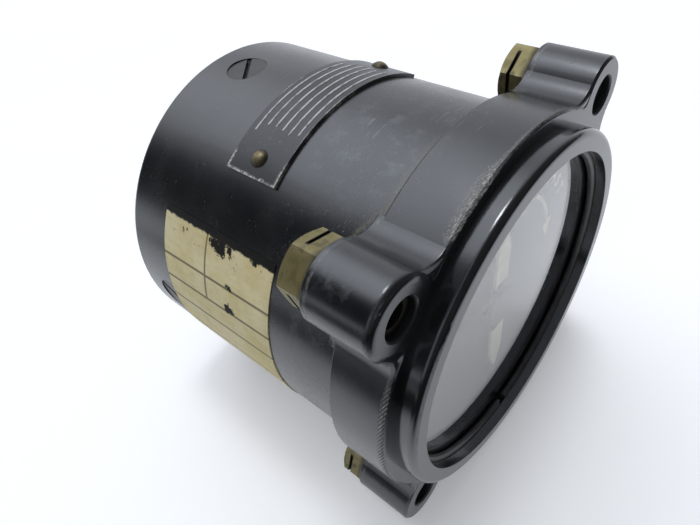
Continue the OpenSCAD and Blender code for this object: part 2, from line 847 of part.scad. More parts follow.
// The slot of a flush screw's head stands askew, as the screw stopped
module rear_cover_screws() {
    slot_turn = [-50, 10, 70, -35];
    color([0.12, 0.12, 0.13]) for (k = [0:3]) at_clock(90 * k) difference() {
        flush_screw_body(0);
        translate([0, flush_y, case_r - flush_sink]) rotate(slot_turn[k])
            cube([slot_w, 4 * flush_head_r, 2 * flush_slot_depth], center = true);
    }
}

module socket_screw_holes(from, to) {
    for (x = [-1, 1]) for (z = [-1, 1]) translate([x * socket_pitch / 2, 0, 0])
        bar(socket_screw_r + slide_gap, from, to, z * socket_pitch / 2);
}

// Square with rounded corners, as wide as the connector's flange
module socket_square() {
    corner = 3;
    half = socket_flange_w / 2 - corner;
    square([socket_flange_w, 2 * half], center = true);
    square([2 * half, socket_flange_w], center = true);
    for (x = [-half, half]) for (y = [-half, half]) translate([x, y]) circle(corner);
}

module connector_gasket() {
    color([0.10, 0.10, 0.10]) difference() {
        slab(disc_y + cover_t, socket_y) socket_square();
        bar(socket_hole_r, disc_y, socket_y + past);
        socket_screw_holes(disc_y, socket_y + past);
    }
}

module connector_shell() {
    end_y = socket_y + socket_flange_t + socket_len;
    color([0.60, 0.61, 0.62]) difference() {
        union() {
            slab(socket_y, socket_y + socket_flange_t) socket_square();
            turned() {
                band(0, socket_bore_r + socket_wall, insert_y, end_y);
                band(0, socket_r - 0.6, socket_y, end_y);
                band(0, socket_r, socket_y + socket_flange_t + 1, end_y - 0.5);
            }
        }
        difference() {
            bar(socket_bore_r, insert_y - past, end_y + past);
            translate([-socket_key_w / 2, insert_face_y, socket_bore_r - socket_key_h])
                cube([socket_key_w, (end_y - insert_face_y) * 0.8, 2 * socket_key_h]);
        }
        socket_screw_holes(socket_y - past, socket_y + socket_flange_t + past);
    }
}

// Places of the six contacts: one in the middle and five round it
pin_places = concat([[0, 0]], [for (k = [0:4]) clock_point(36 + 72 * k, pin_circle_r)]);

module connector_insert() {
    color([0.10, 0.10, 0.11]) slab(insert_y, insert_face_y) difference() {
        circle(insert_r);
        for (p = pin_places) translate(p) circle(pin_r + snug);
    }
}

module connector_pins() {
    tip = pin_r * 0.5;
    color([0.82, 0.74, 0.50]) for (p = pin_places) translate([p[0], 0, 0]) {
        bar(pin_r, pin_y, insert_face_y + pin_len - tip, p[1]);
        cone_bar(pin_r, pin_r - tip, insert_face_y + pin_len - tip, insert_face_y + pin_len, p[1]);
    }
}

module connector_screws() {
    head_y = socket_y + socket_flange_t;
    color([0.68, 0.68, 0.66]) for (x = [-1, 1]) for (z = [-1, 1]) translate([x * socket_pitch / 2, 0, 0])
        difference() {
            union() {
                bar(socket_screw_r, disc_y - cover_t / 2, head_y, z * socket_pitch / 2);
                bar(socket_screw_head_r, head_y, head_y + socket_screw_head_h, z * socket_pitch / 2);
            }
            translate([0, head_y + socket_screw_head_h, z * socket_pitch / 2]) rotate([0, 30 * (x + z), 0])
                cube([3 * socket_screw_head_r, socket_screw_head_h, 0.6], center = true);
        }
}

case_shell();
mounting_nuts();
cover_glass();
glass_gasket();
snap_ring();
dial_plate();
dial_screws();
data_plate();
plate_rivets();
paper_label();
front_plate();
rear_plate();
frame_bolts();
front_spacers();
rear_spacers();
stator_core();
stator_winding();
front_bearing_outer();
front_bearing_balls();
front_bearing_inner();
rear_bearing_outer();
rear_bearing_balls();
rear_bearing_inner();
rotor_shaft();
rotor_core();
rotor_winding();
slip_ring_sleeve();
slip_rings();
shaft_collar();
brush_block();
brush_leaves();
brush_block_screws();
pointer();
pointer_hub();
rear_cover();
rear_cover_screws();
connector_shell();
connector_gasket();
connector_insert();
connector_pins();
connector_screws();
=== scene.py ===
"""Looks of the aircraft synchroscope, built round its CAD frame. Metres, in the CAD's frame."""

import json
import math

import bmesh
import bpy
from mathutils import Matrix, Vector


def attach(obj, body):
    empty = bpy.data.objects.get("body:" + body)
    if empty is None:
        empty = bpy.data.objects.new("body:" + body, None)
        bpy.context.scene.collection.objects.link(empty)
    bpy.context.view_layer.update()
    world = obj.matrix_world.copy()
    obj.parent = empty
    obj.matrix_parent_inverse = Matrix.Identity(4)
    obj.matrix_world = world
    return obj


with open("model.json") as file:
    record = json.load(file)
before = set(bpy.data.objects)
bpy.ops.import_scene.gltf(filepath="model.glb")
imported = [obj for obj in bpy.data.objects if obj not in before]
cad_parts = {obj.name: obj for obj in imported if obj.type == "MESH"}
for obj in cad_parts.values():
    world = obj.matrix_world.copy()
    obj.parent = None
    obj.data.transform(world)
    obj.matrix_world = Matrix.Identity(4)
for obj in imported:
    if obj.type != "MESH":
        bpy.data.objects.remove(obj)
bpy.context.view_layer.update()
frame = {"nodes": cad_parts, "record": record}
NODES = frame["nodes"]
MM = 0.001

# Sizes of the CAD frame that the finishes and the painted marks follow, in millimetres. The
# panel's face is at y nought, and y runs along the case to the rear. A clock angle is in degrees
# round the case from its top, and is negative on the left.
CASE_R = 28.5
CASE_END = 55.9
FLANGE_R = 30.4
FLANGE_T = 9.1
BOSS_R = 28.4
BOSS_FRONT = -3.1
BEZEL_R = 25.5
EAR_AT = 33.3375 / math.sqrt(2)
EAR_R = 5.3
EAR_LEN = 10.0
EAR_HOLE_R = 2.7
EAR_BLEND = 3.4
# Clock angle of a nut's slits, lower and upper, on the left and on the right
NUT_TURNS = ((-95.0, 47.0), (-15.0, -60.0))
NUT_CORNER_R = 4.9
SLIT_Y = 12.45
SLIT_BOTTOM_R = 3.0
PLATE_R = 29.0
PLATE_Y = 31.8
PLATE_HALF_WIDTH = 4.9
PLATE_HALF_ANGLE = 33.6
LABEL_TOP_CLOCK = -54.0
LABEL_FRONT_Y = 20.3
DIAL_Y = 3.75
POINTER_NECK_R = 5.15
BARREL_R = 11.1
BARREL_MIDDLE_Y = 61.8
THREAD_PITCH = 1.27

# The camera that was fitted to the photograph, in millimetres
CAMERA_PLACE = (-48.936, -23.409, 69.906)
CAMERA_FORWARD = (0.44770858, 0.52137299, -0.72644837)
CAMERA_UP = (0.62551116, 0.39793996, 0.67110325)
CAMERA_LENS = 28.582
CAMERA_SENSOR = 36


def new_object(name, data):
    """A new object in the scene, at the origin."""
    made = bpy.data.objects.new(name, data)
    bpy.context.scene.collection.objects.link(made)
    return made


def make_camera():
    forward, up = Vector(CAMERA_FORWARD), Vector(CAMERA_UP)
    right = forward.cross(up).normalized()
    turn = Matrix((right, right.cross(forward), -forward)).transposed()
    data = bpy.data.cameras.new("camera")
    data.lens = CAMERA_LENS
    data.sensor_width = CAMERA_SENSOR
    data.sensor_fit = "HORIZONTAL"
    data.clip_start = 0.005
    data.clip_end = 20
    camera = new_object("camera", data)
    camera.matrix_world = Matrix.Translation(Vector(CAMERA_PLACE) * MM) @ turn.to_4x4()
    bpy.context.scene.camera = camera


make_camera()


class Tree:
    """Short calls for building a node tree."""

    def __init__(self, tree):
        self.tree = tree

    def add(self, kind, **settings):
        node = self.tree.nodes.new(kind)
        for name, value in settings.items():
            setattr(node, name, value)
        return node

    def put(self, socket, value):
        if isinstance(value, bpy.types.NodeSocket):
            self.tree.links.new(value, socket)
        elif isinstance(value, tuple) and socket.type == "RGBA":
            socket.default_value = (*value, 1)
        else:
            socket.default_value = value

    def fill(self, node, values):
        """Puts each value into the node's socket of that name or number."""
        for place, value in values.items():
            self.put(node.inputs[place], value)

    def math(self, operation, *values, clamp=False):
        node = self.add("ShaderNodeMath", operation=operation, use_clamp=clamp)
        self.fill(node, dict(enumerate(values)))
        return node.outputs[0]

    def fold(self, operation, values):
        total = values[0]
        for value in values[1:]:
            total = self.math(operation, total, value)
        return total

    def plus(self, *values):
        return self.fold("ADD", values)

    def times(self, *values):
        return self.fold("MULTIPLY", values)

    def most(self, *values):
        return self.fold("MAXIMUM", values)

    def minus(self, a, b):
        return self.math("SUBTRACT", a, b)

    def linear(self, value, gain, base):
        return self.math("MULTIPLY_ADD", value, gain, base)

    def distance(self, a, b):
        """Distance from a corner where two measures are both nought."""
        return self.math("SQRT", self.plus(self.times(a, a), self.times(b, b)))

    def wave(self, value, pitch):
        return self.math("SINE", self.times(value, 2 * math.pi / pitch))

    def mix(self, factor, a, b):
        """A colour from a to b."""
        node = self.add("ShaderNodeMix", data_type="RGBA")
        self.fill(node, {"Factor": factor, 6: a, 7: b})
        return node.outputs[2]

    def blend(self, factor, a, b):
        """A number from a to b."""
        node = self.add("ShaderNodeMix", data_type="FLOAT")
        self.fill(node, {"Factor": factor, 2: a, 3: b})
        return node.outputs[0]

    def coated(self, color, *coats):
        """A colour with coats over it in turn, each given as where it lies and its own colour."""
        for where, coat in coats:
            color = self.mix(where, color, coat)
        return color

    def ramp(self, value, low, high, a=0.0, b=1.0):
        """From a to b, smoothly, as the value goes from low to high."""
        node = self.add("ShaderNodeMapRange", interpolation_type="SMOOTHSTEP")
        self.fill(node, {"Value": value, "From Min": low, "From Max": high,
                         "To Min": a, "To Max": b})
        return node.outputs["Result"]

    def near(self, value, middle, half, soft):
        """One where a value is within half of the middle, falling to nought over soft."""
        away = self.math("ABSOLUTE", self.minus(value, middle))
        return self.ramp(away, half, half + soft, 1.0, 0.0)

    def vector(self, x, y, z):
        node = self.add("ShaderNodeCombineXYZ")
        self.fill(node, {"X": x, "Y": y, "Z": z})
        return node.outputs[0]

    def apart(self, vector):
        node = self.add("ShaderNodeSeparateXYZ")
        self.put(node.inputs[0], vector)
        return node.outputs

    def turned(self, vector, turn, scale):
        node = self.add("ShaderNodeMapping")
        self.fill(node, {"Vector": vector, "Rotation": turn, "Scale": scale})
        return node.outputs[0]

    def scaled(self, vector, scale):
        return self.turned(vector, (0.0, 0.0, 0.0), scale)

    def noise(self, vector, scale, detail=3.0, rough=0.55, distortion=0.0):
        node = self.add("ShaderNodeTexNoise")
        self.fill(node, {"Vector": vector, "Scale": scale, "Detail": detail,
                         "Roughness": rough, "Distortion": distortion})
        return node.outputs["Fac"]

    def bump(self, height, strength, distance, under=None):
        """A normal from a height, over another normal where one is given. Millimetres."""
        node = self.add("ShaderNodeBump")
        self.fill(node, {"Height": height, "Strength": strength, "Distance": distance * MM})
        if under is not None:
            self.put(node.inputs["Normal"], under)
        return node.outputs[0]

    def group(self, tree, **values):
        node = self.add("ShaderNodeGroup", node_tree=tree)
        self.fill(node, {name.replace("_", " "): value for name, value in values.items()})
        return node.outputs


# Effects that more than one material uses
NUMBER, VECTOR, GEOMETRY = "NodeSocketFloat", "NodeSocketVector", "NodeSocketGeometry"
WHOLE, PAINT = "NodeSocketInt", "NodeSocketMaterial"


def new_group(kind, name, inputs, outputs):
    """A node group with named sockets, and its tree of helpers."""
    made = bpy.data.node_groups.new(name, kind)
    for label, socket_kind, value in inputs:
        socket = made.interface.new_socket(label, in_out="INPUT", socket_type=socket_kind)
        if value is not None:
            socket.default_value = value
    for label, socket_kind in outputs:
        made.interface.new_socket(label, in_out="OUTPUT", socket_type=socket_kind)
    t = Tree(made)
    t.given = t.add("NodeGroupInput").outputs
    t.result = t.add("NodeGroupOutput").inputs
    return made, t


def make_grain():
    """Fine grain for a bump, and slow mottling for colour and gloss, of sizes in millimetres."""
    made, t = new_group(
        "ShaderNodeTree", "fine_grain",
        [("Point", VECTOR, None), ("Grain Size", NUMBER, 0.15), ("Mottle Size", NUMBER, 6.0)],
        [("Grain", NUMBER), ("Mottle", NUMBER)])
    for name, detail in (("Grain", 2.0), ("Mottle", 4.0)):
        scale = t.math("DIVIDE", 1.0, t.given[name + " Size"])
        t.put(t.result[name], t.noise(t.given["Point"], scale, detail, rough=0.6))
    return made


def make_scratches():
    """Short fine scratches in three directions. Amount is how much of the surface carries them."""
    made, t = new_group(
        "ShaderNodeTree", "fine_scratches",
        [("Point", VECTOR, None), ("Amount", NUMBER, 0.4), ("Density", NUMBER, 1.0)],
        [("Scratches", NUMBER)])
    sets = []
    for turn, along, across, patch_from in (((0.3, 0.2, 0.75), 0.05, 2.6, 0.623),
                                            ((1.0, 0.5, -0.5), 0.04, 3.4, 0.631),
                                            ((0.2, 1.1, 0.1), 0.06, 4.4, 0.643)):
        streaks = t.noise(t.turned(t.given["Point"], turn, (along, across, across)),
                          t.given["Density"], detail=2.0, rough=0.5, distortion=0.2)
        patches = t.noise(t.turned(t.given["Point"], turn, (0.10, 0.16, 0.16)), 1.0,
                          detail=2.0, rough=0.5)
        patches = t.plus(patches, t.times(t.given["Amount"], 0.4))
        sets.append(t.times(t.ramp(streaks, 0.66, 0.71), t.ramp(patches, patch_from, 0.74)))
    t.put(t.result["Scratches"], t.most(*sets))
    return made


def make_edge_wear():
    """Wear beside an edge, in fine rubs. It is ragged, and comes and goes along the edge."""
    made, t = new_group(
        "ShaderNodeTree", "edge_wear",
        [("Point", VECTOR, None), ("Rub Point", VECTOR, None), ("Edge Distance", NUMBER, 1.0),
         ("Width", NUMBER, 0.5), ("Raggedness", NUMBER, 0.5), ("Coverage", NUMBER, 0.5)],
        [("Wear", NUMBER)])
    given = t.given
    ragged = t.noise(given["Point"], 1.7, detail=5.0, rough=0.7)
    rubs = t.noise(given["Rub Point"], 1.0, detail=3.0, rough=0.65)
    along = t.noise(given["Point"], 0.16, detail=3.0, rough=0.6)
    shift = t.times(t.minus(ragged, 0.5), given["Raggedness"], 3.4)
    away = t.plus(t.math("DIVIDE", given["Edge Distance"], given["Width"]), shift)
    close = t.ramp(away, 0.35, 1.05, 1.0, 0.0)
    kept = t.ramp(t.plus(along, given["Coverage"]), 0.85, 1.10)
    t.put(t.result["Wear"], t.times(close, kept, t.ramp(rubs, 0.42, 0.56, 0.25, 1.0)))
    return made


def make_dust():
    """Thin dust in faint clouds, more of it where a face looks up."""
    made, t = new_group(
        "ShaderNodeTree", "settled_dust",
        [("Point", VECTOR, None), ("Normal", VECTOR, None), ("Amount", NUMBER, 0.3)],
        [("Dust", NUMBER)])
    up = t.ramp(t.apart(t.given["Normal"])["Z"], -0.2, 1.0, 0.15, 1.0)
    clouds = t.ramp(t.noise(t.given["Point"], 0.22, detail=5.0, rough=0.7), 0.35, 0.75)
    specks = t.ramp(t.noise(t.given["Point"], 5.5, detail=1.0, rough=0.5), 0.77, 0.82)
    thickness = t.plus(t.times(clouds, 0.35), t.times(specks, 0.12))
    t.put(t.result["Dust"], t.times(up, t.given["Amount"], thickness))
    return made


GRAIN = make_grain()
SCRATCHES = make_scratches()
EDGE_WEAR = make_edge_wear()
DUST = make_dust()


class Finish(Tree):
    """The tree of one new material. Its point is the object's own place, in millimetres."""

    def __init__(self, name, slot_color):
        self.made = bpy.data.materials.new(name)
        self.made.use_nodes = True
        self.made.diffuse_color = (*slot_color, 1)
        super().__init__(self.made.node_tree)
        self.shader = self.made.node_tree.nodes["Principled BSDF"]
        place = self.add("ShaderNodeTexCoord").outputs["Object"]
        self.point = self.scaled(place, (1 / MM, 1 / MM, 1 / MM))
        self.normal = self.add("ShaderNodeNewGeometry").outputs["Normal"]
        self.x, self.y, self.z = self.apart(self.point)

    def set_shader(self, **values):
        self.fill(self.shader, {name.replace("_", " "): value for name, value in values.items()})

    def around(self):
        """Distance from the case's axis, and the clock angle from -180 to 180 degrees."""
        clock = self.times(self.math("ARCTAN2", self.x, self.z), 180 / math.pi)
        return self.distance(self.x, self.z), clock

    def from_ears(self):
        """How far a point lies outside the middles of the ears, across and up."""
        return [self.minus(self.math("ABSOLUTE", place), EAR_AT) for place in (self.x, self.z)]

    def edge(self, across, y):
        """Distance from an edge that lies at y, where the measure across is nought."""
        return self.distance(across, self.minus(self.y, y))

    def grain(self, size, mottle_size):
        made = self.group(GRAIN, Point=self.point, Grain_Size=size, Mottle_Size=mottle_size)
        return made["Grain"], made["Mottle"]

    def scratches(self, amount, density):
        made = self.group(SCRATCHES, Point=self.point, Amount=amount, Density=density)
        return made["Scratches"]

    def wear(self, edge, rub_point, width, raggedness, coverage):
        made = self.group(EDGE_WEAR, Point=self.point, Rub_Point=rub_point, Edge_Distance=edge,
                          Width=width, Raggedness=raggedness, Coverage=coverage)
        return made["Wear"]

    def dust(self, amount):
        return self.group(DUST, Point=self.point, Normal=self.normal, Amount=amount)["Dust"]


# Parts of the moulded case that have wear of their own: a middle, a half width and a fade, as
# clock angles in degrees and as places along the case in millimetres
TOP = (0.0, 22.0, 16.0)
UPPER_SIDE = (-12.0, 30.0, 14.0)
HEAVY_WEAR = (-19.0, 7.0, 9.0)
LEFT_SIDE = (-90.0, 22.0, 14.0)
NEAR_EAR = (-45.0, 9.0, 5.0)
SCUFFED_Y = (15.0, 4.0, 7.0)
RUBBED_PATCH = (-13.0, 9.0, 11.0)
RUBBED_PATCH_Y = (18.0, 4.5, 6.0)
GRIMY_SIDE = (-22.0, 14.0, 14.0)
GRIME_STRIP = (-29.0, 6.0, 4.0)
JUNCTION_Y = (FLANGE_T + 0.2, 0.5, 1.5)

# The tint of the gloss on the black moulding and the black plate
COOL_GLOSS = (0.92, 0.96, 1.0)


class CaseShape:
    """Where a point lies on the moulded case: its distances from the edges, and its side."""

    def __init__(self, t):
        self.radius, self.clock = t.around()
        self.ear_x, self.ear_z = t.from_ears()
        self.ear = t.minus(t.distance(self.ear_x, self.ear_z), EAR_R)
        flange = t.minus(self.radius, FLANGE_R)
        self.outline = t.math("SMOOTH_MIN", self.ear, flange, EAR_BLEND)
        self.front_edge = t.edge(t.times(self.outline, 3.0), 0.2)
        self.rear_edge = t.math("MINIMUM", t.edge(self.outline, FLANGE_T),
                                t.edge(self.ear, EAR_LEN))
        self.boss_edge = t.math("MINIMUM", t.edge(t.minus(self.radius, BOSS_R), BOSS_FRONT),
                                t.edge(t.minus(self.radius, BEZEL_R), BOSS_FRONT))
        self.tube_edge = t.edge(t.minus(self.radius, CASE_R), CASE_END)
        self.top = t.near(self.clock, *TOP)
        self.heavy = t.near(self.clock, *HEAVY_WEAR)
        self.left = t.near(self.clock, *LEFT_SIDE)
        self.upper = t.near(self.clock, *UPPER_SIDE)


def case_wear(t, case):
    """Wear at the case's edges, and the dark cuts of a file at the left of the flange's front."""
    left = case.left
    arc = t.times(case.clock, FLANGE_R * math.pi / 180)
    rubs = t.vector(t.times(arc, t.blend(left, 1.5, 2.6)),
                    t.times(t.plus(t.y, t.times(arc, 0.35)), t.blend(left, 6.5, 0.6)),
                    t.times(case.radius, 3.0))
    width = t.plus(t.times(t.most(case.heavy, t.times(left, 0.8)), 0.6),
                   t.linear(case.top, 0.25, 0.45))
    coverage = t.plus(t.times(left, 0.2), t.linear(t.most(case.top, left), 0.24, 0.36))
    front = t.wear(case.front_edge, rubs, width, t.blend(left, 0.5, 0.15), coverage)
    front = t.times(front, t.most(case.heavy, left, 0.55))
    file_slope, file_pitch = 2.0, 0.8
    ridges = t.ramp(t.wave(t.linear(t.y, file_slope, arc), file_pitch), 0.0, 0.5)
    cuts = t.times(front, left, t.minus(1.0, ridges))
    front = t.times(front, t.blend(left, 1.0, ridges))
    rear = t.wear(case.rear_edge, t.point, t.linear(left, 0.06, 0.28),
                  t.blend(left, 0.25, 0.12), t.linear(left, 0.3, 0.56))
    rear = t.times(rear, t.blend(left, 0.45, 0.85))
    boss = t.wear(case.boss_edge, rubs, width=0.35, raggedness=0.4, coverage=0.38)
    tube = t.wear(case.tube_edge, rubs, width=0.55, raggedness=0.5, coverage=0.50)
    return t.most(front, rear, t.times(boss, 0.4), t.times(tube, 0.7)), cuts


def case_scuffs(t, case):
    """Fine scratches behind the flange, and dull rubs there and along the ridges of the ears."""
    scuffed = t.near(t.y, *SCUFFED_Y)
    scratches = t.scratches(t.linear(t.times(scuffed, case.upper), 0.30, 0.02), density=1.0)
    scratches = t.times(scratches, t.blend(case.upper, 0.25, 1.0))
    patch = t.times(t.near(case.clock, *RUBBED_PATCH), t.near(t.y, *RUBBED_PATCH_Y))
    ridge = t.times(t.near(case.ear_x, 2.7, 0.5, 1.2), t.ramp(case.ear_z, 2.5, 4.0),
                    t.ramp(t.y, 2.0, 5.0))
    rubbed = t.times(t.ramp(t.noise(t.point, 0.32, detail=5.0, rough=0.7), 0.48, 0.68),
                     t.most(patch, ridge, t.times(scuffed, 0.35)))
    return scratches, rubbed


def case_grime(t, case, grain):
    """Brown dirt where the flange meets the tube, and in a slanting strip on the flange."""
    on_tube = t.ramp(case.radius, CASE_R + 1.0, CASE_R + 0.1)
    junction = t.times(on_tube, t.near(t.y, *JUNCTION_Y))
    strip_y = t.linear(t.plus(case.clock, 22.0), -0.24, 9.7)
    strip = t.times(t.near(t.minus(t.y, strip_y), -0.3, 0.1, 0.45),
                    t.near(case.clock, *GRIME_STRIP))
    return t.times(t.most(t.times(junction, 0.6), t.times(strip, 0.8)),
                   t.ramp(grain, 0.40, 0.58), t.near(case.clock, *GRIMY_SIDE))


def ear_rounding(t, case, under):
    """A normal that rounds the front edges of the ears and the flange."""
    round_r = t.blend(t.near(case.clock, *NEAR_EAR), 0.45, 1.1)
    inward = t.minus(t.math("MAXIMUM", t.y, 0.0), t.math("MINIMUM", case.outline, 0.0))
    inward = t.math("SUBTRACT", 1.0, t.math("DIVIDE", inward, round_r), clamp=True)
    on_flange = t.ramp(case.radius, BOSS_R + 0.2, BOSS_R + 0.5)
    height = t.times(inward, inward, round_r, on_flange, -0.5)
    return t.bump(height, 1.0, 1.0, under)


def moulded_case():
    """Black moulding with a satin skin, rubbed grey-brown behind the edges of flange and ears."""
    t = Finish("moulded_case", (0.03, 0.03, 0.032))
    case = CaseShape(t)
    wear, cuts = case_wear(t, case)
    scratches, rubbed = case_scuffs(t, case)
    grain, mottle = t.grain(0.22, 7.0)
    grime = case_grime(t, case, grain)
    # Painted shade: the wall of each ear's hole and a narrow ring round its mouth are coated near
    # black below.
    hole_shade = t.ramp(case.ear, EAR_HOLE_R + 0.25 - EAR_R, EAR_HOLE_R + 0.05 - EAR_R)

    skin = t.mix(t.ramp(mottle, 0.3, 0.75), (0.0056, 0.0058, 0.0066), (0.0100, 0.0100, 0.0106))
    bare = t.mix(t.most(case.heavy, case.left), (0.25, 0.24, 0.215), (0.45, 0.44, 0.405))
    worn = t.mix(t.ramp(grain, 0.35, 0.62), (0.10, 0.095, 0.085), bare)
    color = t.coated(skin, (t.times(rubbed, 0.42), (0.12, 0.135, 0.16)),
                     (t.times(grime, 0.8), (0.17, 0.145, 0.075)),
                     (t.times(scratches, 0.42), (0.20, 0.22, 0.26)),
                     (t.dust(0.06), (0.34, 0.33, 0.31)), (wear, worn),
                     (t.most(hole_shade, cuts), (0.002, 0.002, 0.002)))

    on_boss = t.ramp(t.y, 0.3, -0.3)
    on_ear = t.ramp(case.radius, FLANGE_R + 0.5, FLANGE_R + 2.0)
    rough = t.plus(t.linear(mottle, 0.12, t.blend(on_boss, 0.20, 0.09)), t.times(on_ear, 0.02),
                   t.times(t.most(wear, grime, hole_shade, cuts), 0.35))
    rough = t.math("ADD", rough, t.times(t.most(scratches, rubbed), 0.12), clamp=True)

    height = t.minus(t.times(grain, 0.12), t.times(scratches, 0.06))
    height = t.minus(height, t.times(wear, t.linear(grain, 1.0, 0.2)))
    t.set_shader(Base_Color=color, Roughness=rough, IOR=1.78, Specular_Tint=COOL_GLOSS,
                 Normal=ear_rounding(t, case, t.bump(height, 1.0, 0.05)))
    return t.made


def nut_slits(t):
    """The slits across the nuts' ends. Each nut has come to rest at a turn of its own."""
    right, upper = t.ramp(t.x, -0.1, 0.1), t.ramp(t.z, -0.1, 0.1)

    def part_along(axis, place):
        lower_to_upper = [t.blend(upper, *(axis(math.radians(turn)) for turn in pair))
                          for pair in NUT_TURNS]
        from_nut = t.minus(place, t.times(t.math("SIGN", place), EAR_AT))
        return t.times(from_nut, t.blend(right, *lower_to_upper))

    along = t.math("ABSOLUTE", t.plus(part_along(math.sin, t.x), part_along(math.cos, t.z)))
    past_bottom = t.ramp(along, SLIT_BOTTOM_R - 0.05, SLIT_BOTTOM_R + 0.05)
    return t.times(t.near(t.y, SLIT_Y, 0.27, 0.08), past_bottom)


def nut_brass():
    """Dull olive brass, rubbed paler at its corners, with patches of dirt, and dark with painted
    shade in its slits and bore and where it meets the ear.
    """
    t = Finish("nut_brass", (0.30, 0.27, 0.15))
    grain, mottle = t.grain(0.12, 2.2)
    out = t.distance(*t.from_ears())
    corner = t.ramp(out, NUT_CORNER_R - 0.4, NUT_CORNER_R)
    # Painted shade: darker where the nut meets the ear, and darkest in its bore and slits. The
    # mottled patches are real dirt.
    base_shade = t.ramp(t.y, EAR_LEN + 0.15, EAR_LEN + 1.1, 1.0, 0.0)
    bore = t.ramp(out, EAR_HOLE_R + 0.4, EAR_HOLE_R + 0.05)
    bore_and_slit_shade = t.most(bore, nut_slits(t))
    dirt_and_shade = t.most(t.times(base_shade, 0.7), t.times(t.ramp(mottle, 0.52, 0.72), 0.7), bore_and_slit_shade)
    brass = t.mix(t.ramp(mottle, 0.3, 0.6), (0.155, 0.132, 0.052), (0.235, 0.20, 0.085))
    color = t.coated(brass, (t.times(corner, 0.4), (0.34, 0.30, 0.15)),
                     (t.linear(bore_and_slit_shade, 0.12, t.times(dirt_and_shade, 0.85)), (0.016, 0.014, 0.009)))
    t.set_shader(Base_Color=color, Metallic=t.minus(0.5, t.times(dirt_and_shade, 0.4)),
                 Roughness=t.plus(t.linear(grain, 0.14, 0.38), t.times(dirt_and_shade, 0.25)),
                 Normal=t.bump(grain, 0.6, 0.03))
    return t.made


def rivet_brass():
    """Brown brass, brighter on the top of each rivet's head."""
    t = Finish("rivet_brass", (0.32, 0.26, 0.14))
    grain, mottle = t.grain(0.1, 0.8)
    radius, _ = t.around()
    top = t.ramp(radius, PLATE_R + 0.3, PLATE_R + 0.75)
    color = t.coated(t.mix(top, (0.05, 0.042, 0.026), (0.22, 0.18, 0.10)),
                     (t.ramp(mottle, 0.45, 0.65), (0.08, 0.066, 0.04)))
    t.set_shader(Base_Color=color, Metallic=0.7, Roughness=t.linear(grain, 0.2, 0.34),
                 Normal=t.bump(grain, 0.6, 0.03))
    return t.made


def data_plate_black():
    """Thin black painted plate, chipped to pale metal along its edges and at its lower end."""
    t = Finish("data_plate_black", (0.04, 0.04, 0.042))
    radius, clock = t.around()
    along = t.minus(t.math("ABSOLUTE", t.minus(t.y, PLATE_Y)), PLATE_HALF_WIDTH)
    side = t.times(t.minus(t.math("ABSOLUTE", clock), PLATE_HALF_ANGLE), PLATE_R * math.pi / 180)
    edge = t.math("ABSOLUTE", t.most(along, side))
    lower_end = t.ramp(clock, -24.0, -31.0)
    wear = t.wear(edge, t.scaled(t.point, (3.0, 3.0, 3.0)), t.linear(lower_end, 0.25, 0.22),
                  raggedness=0.8, coverage=t.linear(lower_end, 0.16, 0.36))
    cut_side = t.times(t.ramp(radius, PLATE_R - 0.06, PLATE_R - 0.16), 0.08)
    grain, mottle = t.grain(0.25, 3.0)
    black = t.mix(t.ramp(mottle, 0.3, 0.7), (0.007, 0.007, 0.0085), (0.013, 0.013, 0.0145))
    scratches = t.scratches(amount=0.3, density=1.3)
    color = t.coated(black, (t.times(scratches, 0.4), (0.30, 0.30, 0.30)),
                     (t.dust(0.04), (0.34, 0.33, 0.30)),
                     (t.most(wear, cut_side), (0.60, 0.59, 0.54)))
    t.set_shader(Base_Color=color, Metallic=t.times(wear, 0.4), IOR=1.6, Specular_Tint=COOL_GLOSS,
                 Roughness=t.plus(t.linear(mottle, 0.2, 0.24), t.times(wear, 0.1)),
                 Normal=t.bump(t.minus(t.times(grain, 0.3), wear), 0.8, 0.04))
    return t.made


# The label's rules across the case, as clock angle and half width in degrees; the rule along it;
# and its larger ink blots, as clock angle, place along the case and size
LABEL_RULES = ((-67.85, 0.28), (-76.6, 0.28), (-85.2, 0.22), (-97.5, 0.22))
COLUMN_RULE = (36.3, 0.13, 0.12)
COLUMN_RULE_CLOCK = (-65.0, 11.6, 0.3)
INK_BLOTS = ((-56.0, 33.2, 1.5), (-55.4, 34.8, 1.0), (-55.6, 31.2, 0.9), (-67.2, 30.7, 0.65),
             (-75.3, 30.8, 1.0), (-54.6, 26.0, 0.9), (-86.9, 20.8, 0.8))


def label_rules(t, clock):
    leaning = t.plus(clock, t.times(t.minus(t.y, 33.0), 0.04))
    rules = t.most(*(t.near(leaning, middle, half, 0.3) for middle, half in LABEL_RULES))
    behind_front_edge = t.ramp(t.y, LABEL_FRONT_Y + 0.5, LABEL_FRONT_Y + 0.9)
    column = t.times(t.near(t.y, *COLUMN_RULE), t.near(clock, *COLUMN_RULE_CLOCK))
    return t.most(t.times(rules, behind_front_edge), column)


